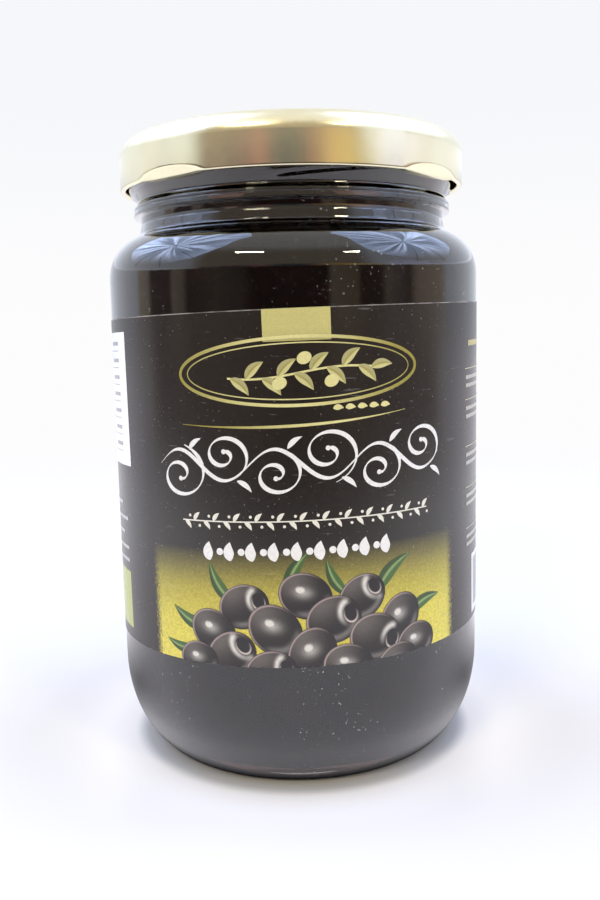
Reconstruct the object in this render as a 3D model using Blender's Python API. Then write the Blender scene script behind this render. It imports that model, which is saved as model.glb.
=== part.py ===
"""A shut jar of pitted black olives, standing on its base.

Four pieces: the glass jar with its screw finish, the steel twist-off lid, the paper label wrapped
round the body, and the heap of olives that fills the glass.
Units are metres. +Z is up, the jar's axis is the Z axis, the base stands on z = 0 and the label's
front faces -Y. Angles round the jar are counted from that front, positive to the right.
"""

import math
import random

import bmesh
import bpy
from mathutils import Euler, Matrix, Vector

MM = 0.001
GAP = 0.3 * MM                      # clearance between neighbouring pieces

# The glass, outside
BODY_RADIUS = 35.75 * MM
CONTACT_OUTER_RADIUS = 28.4 * MM    # the flat ring that the jar stands on
CONTACT_INNER_RADIUS = 26.4 * MM
PUSH_UP_HEIGHT = 2.6 * MM           # rise of the underside at the axis
PUSH_UP_FLATNESS = 4                # exponent of the underside's dome
HEEL_TOP = 17.5 * MM
HEEL_ROUNDNESS = (1.34, 2.16)       # exponents of the heel's curve, across and up
SHOULDER_START = 90.3 * MM
SHOULDER_RISE = 9.2 * MM
SHOULDER_ROUNDNESS = (1.67, 2.39)
SHOULDER_INNER_RADIUS = 27.3 * MM   # where the shoulder's curve would end, inside the neck
NECK_RADIUS = 29.3 * MM
NECK_FILLET_Z = 99.8 * MM
NECK_FILLET = 0.5 * MM
BEAD_BOTTOM = 102.4 * MM            # transfer bead under the screw finish
BEAD_RADIUS = 30.8 * MM
BEAD_HEIGHT = 2.3 * MM
FINISH_RADIUS = 30.2 * MM
FINISH_START = 105.7 * MM
RIM_TOP = 114.9 * MM
RIM_ROUNDING = 1.1 * MM

# The glass, inside
BORE_RADIUS = 27.1 * MM
WALL = 2.35 * MM
FLOOR = 2.9 * MM                    # glass thickness at the axis
FLOOR_RADIUS = 24.0 * MM
FLOOR_SAG = 0.3 * MM                # the floor's edge lies lower than its middle
SHOULDER_THICKENING = 0.8 * MM      # the wall grows this much towards the neck
GLASS_STEPS = 48

# Four short screw threads on the finish
LUGS = 4
THREAD_CREST_RADIUS = 31.3 * MM
THREAD_START = math.radians(-7.0)
THREAD_SWEEP = math.radians(78.0)
THREAD_CENTRE_Z = 106.5 * MM        # at its low end
THREAD_RISE = 3.6 * MM              # over the whole sweep
THREAD_ROOT = 0.95 * MM             # half height at the wall
THREAD_CREST = 0.35 * MM            # half height at the crest
THREAD_DEPTH = 0.6 * MM             # sunk into the wall
THREAD_END = 0.12                   # share of the full section left at each end
THREAD_STEPS = 12

# The lid
LID_RADIUS = 32.96 * MM
LID_TOP = 116.7 * MM
LID_EDGE = 107.1 * MM
LID_SHEET = 0.6 * MM
LID_SHOULDER = 2.2 * MM             # rounding between the side and the top
CURL_WIDTH = 1.15 * MM              # rolled lower edge
CURL_HEIGHT = 1.7 * MM
SIDE_BOTTOM = LID_EDGE + 2.5 * MM   # where the plain side ends
PANEL_RADIUS = 26.4 * MM            # recessed top panel
PANEL_DROP = 1.1 * MM
PANEL_STEP = 1.3 * MM               # width of each half of the step up to the lid's shoulder
BUTTON_RADIUS = 9.5 * MM            # round button in the middle of the panel
BUTTON_EDGE = 1.2 * MM
BUTTON_RISE = 0.45 * MM
SEAL_STEP = 1.0 * MM                # rounding of the seal inside the top
LID_STEPS = 72

# The lid's four lugs
LUG_CENTRE = math.radians(50.0)
LUG_HALF_WIDTH = math.radians(15.0)
LUG_TIP_RADIUS = 30.6 * MM
LUG_TIP_WIDTH = 0.5 * MM
LUG_TIP_Z = 106.55 * MM
LUG_TIP_HEIGHT = 0.4 * MM
LUG_CREASE_Z = 108.75 * MM
LUG_CREASE_DEPTH = 0.1 * MM

# The paper label
LABEL_RADIUS = BODY_RADIUS + GAP
LABEL_THICKNESS = 0.2 * MM
LABEL_LENGTH = 210.0 * MM
LABEL_HEIGHT = 60.4 * MM
LABEL_BOTTOM = 24.0 * MM            # at the front
LABEL_TILT = math.radians(1.27)     # stuck on a little out of level, higher to the right
LABEL_STEPS = 60

# The olives
OLIVE_HALF_LENGTH = 9.6 * MM
OLIVE_HALF_WIDTH = 8.1 * MM
OLIVE_SIDES = 8
OLIVE_BANDS = 5
OLIVE_GAP = 0.45 * MM               # from an olive's skin to the glass
OLIVE_NUDGE = 0.25 * MM             # step in which an olive moves in from the glass
LAYERS = 6
LAYER_START = 17.0 * MM
LAYER_PITCH = 13.6 * MM
OLIVES_A_LAYER = 8
NECK_LAYER_Z = 97.0 * MM
NECK_OLIVES = 5
TURN_SPREAD = 0.06                  # radians, either way
HEIGHT_SPREAD = 1.8 * MM            # either way
CORE_DEPTH = 8.6 * MM               # from the glass to the core that the olives are fused to
CORE_BOTTOM = 12.0 * MM
CORE_TOP = 97.0 * MM
CORE_BANDS = 8
CORE_STEPS = 20
SEED = 7

WELD = 0.001 * MM                   # merges points that coincide on the axis
SLIVER = 0.01 * MM                  # edges shorter than this are dissolved after a union
CREASE_ANGLE = math.radians(40.0)
HEAP_CREASE_ANGLE = math.radians(60.0)


def material(name, colour, roughness, metallic=0.0, transmission=0.0):
    """A Principled material of one colour."""
    made = bpy.data.materials.new(name)
    made.use_nodes = True
    shader = made.node_tree.nodes["Principled BSDF"]
    shader.inputs["Base Color"].default_value = (*colour, 1.0)
    shader.inputs["Roughness"].default_value = roughness
    shader.inputs["Metallic"].default_value = metallic
    shader.inputs["Transmission Weight"].default_value = transmission
    made.diffuse_color = (*colour, 1.0)
    return made


def add_object(name, bm, finish=None):
    """Turns a bmesh into an object, linked to the scene."""
    bmesh.ops.recalc_face_normals(bm, faces=bm.faces)
    mesh = bpy.data.meshes.new(name)
    bm.to_mesh(mesh)
    bm.free()
    if finish:
        mesh.materials.append(finish)
    made = bpy.data.objects.new(name, mesh)
    bpy.context.scene.collection.objects.link(made)
    return made


def shade(made, crease=CREASE_ANGLE):
    """Smooth shading, with edges sharper than the angle left crisp."""
    made.data.shade_smooth()
    made.data.set_sharp_from_angle(angle=crease)


def turned(outline, steps):
    """Spins an open outline of (radius, z) points, both ends on the axis, into a closed solid."""
    bm = bmesh.new()
    points = [bm.verts.new((radius, 0.0, z)) for radius, z in outline]
    edges = [bm.edges.new(pair) for pair in zip(points, points[1:])]
    bmesh.ops.spin(bm, geom=points + edges, cent=(0, 0, 0), axis=(0, 0, 1),
                   angle=math.tau, steps=steps, use_merge=True)
    bmesh.ops.remove_doubles(bm, verts=bm.verts, dist=WELD)
    return bm


def around(radius, turn, z):
    """The point at a radius, an angle counted from the front, and a height."""
    return Vector((radius * math.sin(turn), -radius * math.cos(turn), z))


def swept(sections):
    """A closed solid through a row of sections with as many points each."""
    bm = bmesh.new()
    rings = [[bm.verts.new(point) for point in section] for section in sections]
    for first, second in zip(rings, rings[1:]):
        for a in range(len(first)):
            b = (a + 1) % len(first)
            bm.faces.new((first[a], first[b], second[b], second[a]))
    bm.faces.new(rings[0])
    bm.faces.new(rings[-1])
    return bm


def arc(centre, radii, start, end, steps):
    """Points on an ellipse's arc from one angle to another, in degrees, both ends included."""
    turn = [math.radians(start + (end - start) * i / steps) for i in range(steps + 1)]
    return [(centre[0] + radii[0] * math.cos(t), centre[1] + radii[1] * math.sin(t)) for t in turn]


def heel(inner, outer, low, high, steps):
    """The heel's curve, from (inner, low) outwards and up to (outer, high)."""
    across, up = HEEL_ROUNDNESS
    points = []
    for i in range(steps + 1):
        turn = 0.5 * math.pi * i / steps
        points.append((inner + (outer - inner) * math.sin(turn) ** (2.0 / across),
                       low + (high - low) * (1.0 - abs(math.cos(turn)) ** (2.0 / up))))
    return points


def shoulder(outer, start_z, rise, inner, neck, steps):
    """The shoulder's curve from the body up to the neck's radius."""
    across, up = SHOULDER_ROUNDNESS
    last = math.acos(((neck - inner) / (outer - inner)) ** (across / 2.0))
    points = []
    for i in range(steps + 1):
        turn = last * i / steps
        points.append((inner + (outer - inner) * math.cos(turn) ** (2.0 / across),
                       start_z + rise * math.sin(turn) ** (2.0 / up)))
    return points


def underside(steps=3):
    """The dome pushed up under the base, from the axis to the contact ring."""
    shares = [i / steps for i in range(steps + 1)]
    return [(CONTACT_INNER_RADIUS * share, PUSH_UP_HEIGHT * (1.0 - share ** PUSH_UP_FLATNESS))
            for share in shares]


def bead():
    """The transfer bead, a rounded ring round the neck under the screw threads."""
    middle = BEAD_BOTTOM + BEAD_HEIGHT / 2
    return arc((NECK_RADIUS, middle), (BEAD_RADIUS - NECK_RADIUS, BEAD_HEIGHT / 2), -80, 60, 5)


def outer_outline():
    """The glass from the middle of its underside, out and up to the top of the rim."""
    points = underside()
    points += heel(CONTACT_OUTER_RADIUS, BODY_RADIUS, 0.0, HEEL_TOP, 7)
    points += shoulder(BODY_RADIUS, SHOULDER_START, SHOULDER_RISE, SHOULDER_INNER_RADIUS,
                       NECK_RADIUS + NECK_FILLET, 6)
    points += [(NECK_RADIUS + NECK_FILLET / 4, NECK_FILLET_Z - NECK_FILLET),
               (NECK_RADIUS, NECK_FILLET_Z), (NECK_RADIUS, BEAD_BOTTOM - NECK_FILLET / 2)]
    points += bead()
    points += [(FINISH_RADIUS - NECK_FILLET / 2, FINISH_START - NECK_FILLET),
               (FINISH_RADIUS, FINISH_START)]
    points += arc((FINISH_RADIUS - RIM_ROUNDING, RIM_TOP - RIM_ROUNDING),
                  (RIM_ROUNDING, RIM_ROUNDING), 0, 90, 2)
    return points


def inner_outline():
    """The inside of the glass, from the rim down to the middle of the floor."""
    inside = BODY_RADIUS - WALL
    floor = PUSH_UP_HEIGHT + FLOOR
    points = arc((BORE_RADIUS + RIM_ROUNDING, RIM_TOP - RIM_ROUNDING),
                 (RIM_ROUNDING, RIM_ROUNDING), 90, 180, 2)
    curve = shoulder(inside, SHOULDER_START - 2 * SHOULDER_THICKENING,
                     SHOULDER_RISE - SHOULDER_THICKENING,
                     SHOULDER_INNER_RADIUS - WALL, BORE_RADIUS + NECK_FILLET / 2, 4)
    points += [(BORE_RADIUS, curve[-1][1] + 2 * NECK_FILLET)] + curve[::-1]
    points += heel(FLOOR_RADIUS, inside, floor - FLOOR_SAG, HEEL_TOP, 4)[::-1]
    points.append((0.0, floor))
    return points


def thread(index):
    """One screw thread: a low ridge that climbs to the right and fades out at both ends."""
    root = FINISH_RADIUS - THREAD_DEPTH
    sections = []
    for i in range(THREAD_STEPS + 1):
        share = i / THREAD_STEPS
        turn = THREAD_START + index * math.tau / LUGS + THREAD_SWEEP * share
        fade = min(1.0, THREAD_END + 5.0 * min(share, 1.0 - share))
        middle = THREAD_CENTRE_Z + THREAD_RISE * share
        crest = FINISH_RADIUS + (THREAD_CREST_RADIUS - FINISH_RADIUS) * fade
        sections.append([around(root, turn, middle - THREAD_ROOT * fade),
                         around(crest, turn, middle - THREAD_CREST * fade),
                         around(crest, turn, middle + THREAD_CREST * fade),
                         around(root, turn, middle + THREAD_ROOT * fade)])
    return add_object("thread", swept(sections))


def fuse(base, pieces):
    """One union of the base with every piece, which are then removed."""
    group = bpy.data.collections.new("fused")
    bpy.context.scene.collection.children.link(group)
    for piece in pieces:
        group.objects.link(piece)
    union = base.modifiers.new("fuse", "BOOLEAN")
    union.operation = "UNION"
    union.operand_type = "COLLECTION"
    union.collection = group
    bpy.context.view_layer.update()
    seen = base.evaluated_get(bpy.context.evaluated_depsgraph_get())
    fused = bpy.data.meshes.new_from_object(seen)
    base.modifiers.clear()
    base.data = fused
    for piece in pieces:
        bpy.data.objects.remove(piece)
    bpy.data.collections.remove(group)


def keep_largest(made):
    """Fills sealed hollows and drops loose scraps: only the largest shell stays."""
    bm = bmesh.new()
    bm.from_mesh(made.data)
    bmesh.ops.dissolve_degenerate(bm, edges=bm.edges, dist=SLIVER)
    waiting = set(bm.verts)
    shells = []
    while waiting:
        shell = set()
        front = [waiting.pop()]
        while front:
            vert = front.pop()
            shell.add(vert)
            near = [edge.other_vert(vert) for edge in vert.link_edges]
            front += [other for other in near if other in waiting]
            waiting.difference_update(near)
        shells.append(shell)
    largest = max(shells, key=len)
    bmesh.ops.delete(bm, geom=[v for v in bm.verts if v not in largest], context="VERTS")
    bmesh.ops.triangulate(bm, faces=bm.faces)
    bm.to_mesh(made.data)
    bm.free()


def make_glass():
    """The hollow jar: floor, heel, body, shoulder, neck, bead and finish, with its threads."""
    finish = material("clear_glass", (0.86, 0.9, 0.88), 0.03, transmission=1.0)
    jar = add_object("jar_glass", turned(outer_outline() + inner_outline(), GLASS_STEPS), finish)
    fuse(jar, [thread(index) for index in range(LUGS)])
    keep_largest(jar)
    shade(jar)


def lid_outline():
    """The lid between two lugs, from the middle of its top, down the side and back inside."""
    panel_z = LID_TOP - PANEL_DROP
    inside = LID_RADIUS - LID_SHEET
    seal_z = RIM_TOP + GAP
    curl_top = LID_EDGE + CURL_HEIGHT
    top = [(0.0, panel_z + BUTTON_RISE), (BUTTON_RADIUS - BUTTON_EDGE, panel_z + BUTTON_RISE),
           (BUTTON_RADIUS, panel_z), (PANEL_RADIUS, panel_z),
           (PANEL_RADIUS + PANEL_STEP, LID_TOP - PANEL_DROP / 2),
           (PANEL_RADIUS + 2 * PANEL_STEP, LID_TOP)]
    side = arc((LID_RADIUS - LID_SHOULDER, LID_TOP - LID_SHOULDER),
               (LID_SHOULDER, LID_SHOULDER), 90, 0, 5)
    side.append((LID_RADIUS, SIDE_BOTTOM))
    side += arc((LID_RADIUS - CURL_WIDTH / 2, LID_EDGE + CURL_HEIGHT / 2),
                (CURL_WIDTH / 2, CURL_HEIGHT / 2), 0, -180, 5)
    under = [(LID_RADIUS - CURL_WIDTH, curl_top), (inside, curl_top + LID_SHEET),
             (inside, seal_z - SEAL_STEP), (inside - SEAL_STEP, seal_z),
             (PANEL_RADIUS, seal_z), (PANEL_RADIUS - LID_SHEET, panel_z - LID_SHEET),
             (0.0, panel_z - LID_SHEET)]
    return top + side + under


def press_lugs(bm):
    """Turns the lower edge inwards and under at four places, with a crease above each."""
    top = LID_EDGE + CURL_HEIGHT + WELD
    curl_inner = LID_RADIUS - CURL_WIDTH
    for vert in bm.verts:
        radius = vert.co.xy.length
        turn = math.atan2(vert.co.x, -vert.co.y)
        off = math.remainder(turn - LUG_CENTRE, math.tau / LUGS)
        if vert.co.z > top or radius < curl_inner - WELD or abs(off) >= LUG_HALF_WIDTH:
            continue
        press = math.cos(0.5 * math.pi * off / LUG_HALF_WIDTH) ** 2
        depth = (top - vert.co.z) / CURL_HEIGHT
        inwards = (LID_RADIUS - radius) / CURL_WIDTH
        tip = Vector((LUG_TIP_RADIUS + (1 - inwards) * LUG_TIP_WIDTH,
                      LUG_TIP_Z + inwards * LUG_TIP_HEIGHT))
        crease = Vector((LID_RADIUS - LUG_CREASE_DEPTH - inwards * CURL_WIDTH, LUG_CREASE_Z))
        goal = Vector((radius, vert.co.z)).lerp(crease.lerp(tip, depth), press)
        vert.co = around(goal.x, turn, goal.y)


def make_lid():
    """The steel lid: recessed panel with its button, rounded shoulder, side, curl and lugs."""
    finish = material("gold_lacquer", (0.83, 0.72, 0.42), 0.22, metallic=1.0)
    bm = turned(lid_outline(), LID_STEPS)
    press_lugs(bm)
    shade(add_object("lid", bm, finish))


def make_label():
    """A thin sheet round the body, open at the back and a little out of level."""
    finish = material("label_paper", (0.03, 0.025, 0.025), 0.45)
    outside = LABEL_RADIUS + LABEL_THICKNESS
    sections = []
    for i in range(LABEL_STEPS + 1):
        along = LABEL_LENGTH * (i / LABEL_STEPS - 0.5)
        corners = [(LABEL_RADIUS, 0.0), (outside, 0.0),
                   (outside, LABEL_HEIGHT), (LABEL_RADIUS, LABEL_HEIGHT)]
        section = []
        for radius, up in corners:
            length = along * math.cos(LABEL_TILT) - up * math.sin(LABEL_TILT)
            rise = along * math.sin(LABEL_TILT) + up * math.cos(LABEL_TILT)
            section.append(around(radius, length / LABEL_RADIUS, LABEL_BOTTOM + rise))
        sections.append(section)
    shade(add_object("label", swept(sections), finish))


def bore_at(outline, z):
    """The inner radius of the glass at a height, from its outline."""
    for (r0, z0), (r1, z1) in zip(outline, outline[1:]):
        if min(z0, z1) <= z <= max(z0, z1) and abs(z1 - z0) > WELD:
            return r0 + (r1 - r0) * (z - z0) / (z1 - z0)
    return 0.0


def olive_places(rng):
    """The centre's angle and height and the lie of each olive, layer by layer."""
    layers = [(LAYER_START + LAYER_PITCH * i, OLIVES_A_LAYER) for i in range(LAYERS)]
    layers.append((NECK_LAYER_Z, NECK_OLIVES))
    for number, (z, count) in enumerate(layers):
        for i in range(count):
            turn = math.tau * (i + 0.5 * (number % 2)) / count
            turn += rng.uniform(-TURN_SPREAD, TURN_SPREAD)
            height = z + rng.uniform(-HEIGHT_SPREAD, HEIGHT_SPREAD)
            lie = Euler([rng.uniform(0.0, math.pi) for _ in range(3)]).to_matrix().to_4x4()
            yield turn, height, lie


def olive(outline, turn, height, lie):
    """An olive with few sides, moved in from the glass until its whole skin is clear of it."""
    size = Matrix.Diagonal((OLIVE_HALF_WIDTH, OLIVE_HALF_WIDTH, OLIVE_HALF_LENGTH, 1.0))
    bm = bmesh.new()
    bmesh.ops.create_uvsphere(bm, u_segments=OLIVE_SIDES, v_segments=OLIVE_BANDS, radius=1.0,
                              matrix=lie @ size)
    centre = around(bore_at(outline, height), turn, height)
    inwards = around(-OLIVE_NUDGE, turn, 0.0)
    while any((centre + v.co).xy.length > bore_at(outline, centre.z + v.co.z) - OLIVE_GAP
              for v in bm.verts):
        centre += inwards
    bmesh.ops.translate(bm, verts=bm.verts, vec=centre)
    return add_object("olive", bm)


def make_olives():
    """The heap that fills the jar: a core with one outer layer of olives fused to it."""
    finish = material("olive_skin", (0.02, 0.014, 0.014), 0.3)
    outline = inner_outline()
    core = [(0.0, CORE_BOTTOM)]
    for i in range(CORE_BANDS + 1):
        z = CORE_BOTTOM + (CORE_TOP - CORE_BOTTOM) * i / CORE_BANDS
        core.append((bore_at(outline, z) - CORE_DEPTH, z))
    core.append((0.0, CORE_TOP))
    heap = add_object("olives", turned(core, CORE_STEPS), finish)
    rng = random.Random(SEED)
    fuse(heap, [olive(outline, *place) for place in olive_places(rng)])
    keep_largest(heap)
    shade(heap, HEAP_CREASE_ANGLE)


def main():
    for old in list(bpy.data.objects):
        bpy.data.objects.remove(old)
    make_glass()
    make_lid()
    make_label()
    make_olives()


main()
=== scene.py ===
"""The looks of a shut jar of pitted black olives.

The glass, its contents, the gold lid and the printed label are modelled here at full detail, on the
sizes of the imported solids. Units are metres. +Z is up, the jar stands on z = 0 with its axis on the
Z axis, and the label's front faces -Y. Angles round the jar are counted from that front, positive
to the right. Places on the label are millimetres on the unrolled sheet: u to the right of the
middle of the print, v up from the lower edge.
"""

import math
import random
from math import pi, radians, tau

import bmesh
import bpy
import numpy as np
from mathutils import Euler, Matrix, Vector


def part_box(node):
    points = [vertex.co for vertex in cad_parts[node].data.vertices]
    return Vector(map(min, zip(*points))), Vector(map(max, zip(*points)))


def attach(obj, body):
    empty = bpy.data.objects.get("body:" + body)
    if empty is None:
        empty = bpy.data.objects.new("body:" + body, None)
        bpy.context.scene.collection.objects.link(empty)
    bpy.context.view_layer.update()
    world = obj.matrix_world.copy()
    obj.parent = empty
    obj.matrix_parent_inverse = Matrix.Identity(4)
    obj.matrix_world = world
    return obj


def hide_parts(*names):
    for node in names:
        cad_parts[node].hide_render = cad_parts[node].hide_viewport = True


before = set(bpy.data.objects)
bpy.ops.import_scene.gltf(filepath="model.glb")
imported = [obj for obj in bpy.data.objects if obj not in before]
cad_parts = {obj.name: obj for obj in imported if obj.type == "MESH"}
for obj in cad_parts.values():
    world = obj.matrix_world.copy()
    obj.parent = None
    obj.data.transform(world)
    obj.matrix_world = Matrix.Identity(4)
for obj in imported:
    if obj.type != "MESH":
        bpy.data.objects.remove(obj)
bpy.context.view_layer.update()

MM = 0.001

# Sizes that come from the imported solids
GLASS_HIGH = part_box("jar_glass")[1]
LID_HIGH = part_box("lid")[1]
BODY_RADIUS = GLASS_HIGH.x
RIM_TOP = GLASS_HIGH.z
LID_RADIUS = LID_HIGH.x
LID_TOP = LID_HIGH.z

# The glass
RING_OUTER_RADIUS = 28.4 * MM  # of the flat contact ring
RING_INNER_RADIUS = 26.4 * MM
PUSH_UP_HEIGHT = 2.0 * MM  # rise of the underside at the axis
PUSH_UP_FLATNESS = 4  # exponent of its dome
HEEL_TOP = 17.5 * MM
HEEL_ROUNDNESS = (1.34, 2.16)  # exponents of the curve, across and up
SHOULDER_START = 90.3 * MM
SHOULDER_RISE = 9.2 * MM
SHOULDER_ROUNDNESS = (1.67, 2.39)
SHOULDER_INNER_RADIUS = 27.3 * MM
NECK_RADIUS = 29.3 * MM
NECK_FOOT_RADIUS = 30.15 * MM
NECK_OUTLINE = (  # radius and height in mm: sloping foot, wall, two flat ridges
    (30.02, 99.01), (29.9, 99.07), (29.76, 99.17), (29.66, 99.31), (29.61, 99.45),
    (29.555, 99.76), (29.5, 100.08), (29.445, 100.4), (29.39, 100.71), (29.365, 100.86),
    (29.335, 100.95), (29.31, 101.03), (29.3, 101.1), (29.3, 101.7), (29.3, 102.25),
    (29.3, 102.4), (29.33, 102.46), (29.5, 102.5), (30.2, 102.53), (30.48, 102.57),
    (30.6, 102.65), (30.63, 102.74), (30.6, 102.95), (30.56, 103.25), (30.523, 103.52),
    (30.52, 103.54), (30.5, 103.57), (30.47, 103.62), (30.47, 103.67), (30.53, 103.74),
    (30.55, 103.78), (30.55, 103.86), (30.53, 104.0), (30.512, 104.145), (30.51, 104.16),
    (30.49, 104.22), (30.45, 104.32), (30.28, 104.5), (30.1, 104.75), (29.98, 105.0),
    (29.94, 105.2), (29.94, 105.34))
FINISH_FOOT = (29.97 * MM, 105.42 * MM)
FINISH_SHOULDER = (30.95 * MM, 107.6 * MM)
RIM_ROUNDING = 1.1 * MM
BORE_RADIUS = 27.1 * MM
BORE_ROUNDING = 0.5 * MM
WALL = 2.35 * MM
FLOOR = 1.2 * MM  # glass thickness at the axis
FLOOR_RADIUS = 27.0 * MM
INNER_HEEL_TOP = 15.5 * MM
FLOOR_SAG = 0.3 * MM  # the floor's edge lies lower than its middle
SHOULDER_THICKENING = 0.8 * MM  # the wall grows this much towards the neck
GLASS_STEPS = 240

THREADS = 4
THREAD_START = radians(-7.0)
THREAD_SWEEP = radians(78.0)
THREAD_LOW = 106.5 * MM
THREAD_RISE = 3.6 * MM
THREAD_HEIGHT = 0.5 * MM
THREAD_HALF = 0.95 * MM  # half of its height along the wall
THREAD_END = 0.08  # share of its length in which it fades out

# The contents
WETTING = 0.15 * MM  # how far the brine reaches into the glass
BRINE_TOP = 109.6 * MM
OLIVE_HALF_LENGTH = 9.6 * MM
OLIVE_HALF_WIDTH = 8.1 * MM
OLIVE_SIDES = 30
OLIVE_ROWS = 18
OLIVE_GAP = 0.45 * MM
OLIVE_NUDGE = 0.25 * MM
PIT_RADIUS = 0.34  # of the hole, as a share of the olive's half width
PIT_DEPTH = 0.55  # as a share of its half length
PIT_OUTLINE = (  # share of its radius, depth
    (1.05, 0.005), (0.96, 0.05), (0.88, 0.18), (0.84, PIT_DEPTH), (0.0, PIT_DEPTH + 0.08))
LAYERS = 6
LAYER_START = 17.0 * MM
LAYER_PITCH = 13.6 * MM
OLIVES_A_LAYER = 9
NECK_LAYER_Z = 97.0 * MM
NECK_OLIVES = 6
TURN_SPREAD = 0.06
HEIGHT_SPREAD = 1.8 * MM
CORE_DEPTH = 8.6 * MM
CORE_FOOT = 1.2 * MM  # the core comes this near to the glass at its foot
CORE_FOOT_HEIGHT = 9.0 * MM
CORE_BOTTOM = 3.9 * MM
CORE_TOP = 97.0 * MM
SEED = 7

# The lid
LID_EDGE = 107.1 * MM
LID_SHEET = 0.45 * MM
LID_SHOULDER = 3.6 * MM
CURL_WIDTH = 1.15 * MM
CURL_HEIGHT = 1.7 * MM
CURL_ROUNDING = 0.45 * MM
CURL_INNER_ROUNDING = 1.1 * MM
PANEL_RADIUS = 26.4 * MM
PANEL_DROP = 1.1 * MM
PANEL_STEP = 2.6 * MM
BUTTON_RADIUS = 9.5 * MM
BUTTON_EDGE = 1.4 * MM
BUTTON_RISE = 0.45 * MM
LID_STEPS = 288
LUGS = 4
LUG_CENTRE = radians(50.0)
LUG_HALF_WIDTH = radians(13.5)
LUG_CREASE_Z = 108.75 * MM
LUG_DROP = 0.15  # share by which the turned-in metal also hangs lower
LUG_TIP_RADIUS = 30.8 * MM

# The label
LABEL_CLEARANCE = 0.03 * MM
LABEL_THICKNESS = 0.09 * MM
LABEL_RADIUS = BODY_RADIUS + LABEL_CLEARANCE + LABEL_THICKNESS
LABEL_LENGTH = 210.0
LABEL_HEIGHT = 60.4
LABEL_BOTTOM = 24.0 * MM
LABEL_TILT = radians(1.27)
PRINT_LIFT = 0.03 * MM
PRINT_LAYER = 0.008 * MM
PRINT_STEP = 1.2  # longest side of a printed facet, in label millimetres
FIELD_SIDES = (-28.0, 31.0)  # of the yellow field under the picture
FIELD_TOP = 20.5
FIELD_FRAY = 1.3  # how ragged its sides are
FIELD_COLOURS = (  # from the label's lower edge to the field's top
    (0.0, (0.8, 0.69, 0.1)), (0.38, (0.7, 0.6, 0.075)), (0.64, (0.46, 0.39, 0.045)),
    (0.84, (0.19, 0.16, 0.03)), (1.0, (0.016, 0.012, 0.009)))
BLOCK_SIDES = (-64.0, -39.0)  # of the green block at the left
BLOCK_HEIGHTS = (2.1, 13.0)
BLOCK_GREEN = (0.42, 0.46, 0.1)


# Meshes

def add_piece(name, points, faces, finishes):
    """A smooth mesh object from its points and faces."""
    mesh = bpy.data.meshes.new(name)
    mesh.from_pydata([tuple(map(float, point)) for point in points], [], faces)
    for finish in finishes:
        mesh.materials.append(finish)
    mesh.shade_smooth()
    made = bpy.data.objects.new(name, mesh)
    bpy.context.scene.collection.objects.link(made)
    return made


def weld(made):
    """Merges coinciding points and turns every face of a closed mesh outwards."""
    bm = bmesh.new()
    bm.from_mesh(made.data)
    bmesh.ops.remove_doubles(bm, verts=bm.verts, dist=0.001 * MM)
    bmesh.ops.recalc_face_normals(bm, faces=bm.faces)
    bm.to_mesh(made.data)
    bm.free()


def lay_flat(made, name, places):
    """A UV layer that gives each point of a mesh its place."""
    corners = np.empty(len(made.data.loops), np.int32)
    made.data.loops.foreach_get("vertex_index", corners)
    layer = made.data.uv_layers.new(name=name)
    layer.data.foreach_set("uv", np.asarray(places)[corners].astype(np.float32).ravel())


def around(radius, turn, z):
    """Points at radii, angles counted from the front, and heights."""
    return np.stack(np.broadcast_arrays(radius * np.sin(turn), -radius * np.cos(turn), z), axis=-1)


def grid_faces(rows, columns, closed):
    """Quads between the points of a grid that is stored row by row."""
    across = columns if closed else columns - 1
    return [(i * columns + j, i * columns + (j + 1) % columns,
             (i + 1) * columns + (j + 1) % columns, (i + 1) * columns + j)
            for i in range(rows - 1) for j in range(across)]


def lathe(outline, steps, shape=None):
    """Points and faces of an outline turned round the axis, its radii and heights then shaped."""
    outline = np.array(outline)
    turn = np.arange(steps) * tau / steps
    radius, z = (np.repeat(outline[:, i:i + 1], steps, axis=1) for i in (0, 1))
    if shape:
        radius, z = shape(radius, turn, z)
    return around(radius, turn, z).reshape(-1, 3), grid_faces(len(outline), steps, True)


def ease(value):
    """A smooth step from 0 to 1, flat at both ends."""
    share = np.clip(value, 0.0, 1.0)
    return share * share * (3.0 - 2.0 * share)


def arc(centre, radii, start, end, steps):
    """Points on an ellipse's arc, its ends in degrees and included. radii may be one number."""
    turn = np.radians(np.linspace(start, end, steps + 1))
    across, up = np.broadcast_to(radii, 2)
    return list(zip(centre[0] + across * np.cos(turn), centre[1] + up * np.sin(turn)))


def slope(start, end, steps):
    """Points from one place to another, level at both ends."""
    share = np.linspace(0.0, 1.0, steps + 1)
    return list(zip(start[0] + (end[0] - start[0]) * share,
                    start[1] + (end[1] - start[1]) * ease(share)))


def line(start, end, steps):
    """Evenly spaced points on a straight line, both ends included."""
    return [tuple(point) for point in np.linspace(start, end, steps + 1)]


# Node materials

class Work:
    """What is in work: new nodes go into this tree."""
    tree = None


def add_node(kind, values=None, **settings):
    """Adds a node. values maps an input's name or number to a value or the socket feeding it."""
    made = Work.tree.nodes.new("ShaderNode" + kind)
    for name, value in settings.items():
        setattr(made, name, value)
    for key, value in (values or {}).items():
        if isinstance(value, bpy.types.NodeSocket):
            Work.tree.links.new(value, made.inputs[key])
        else:
            made.inputs[key].default_value = value
    return made


def maths(operation, *values):
    """The result of one maths operation."""
    return add_node("Math", dict(enumerate(values)), operation=operation).outputs[0]


def times(first, second):
    """The product of two values."""
    return maths("MULTIPLY", first, second)


def ramp(value, low, high, start=0.0, end=1.0):
    """Goes smoothly from start to end while the value goes from low to high."""
    return add_node("MapRange", {0: value, 1: low, 2: high, 3: start, 4: end},
                    interpolation_type="SMOOTHSTEP").outputs[0]


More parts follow.
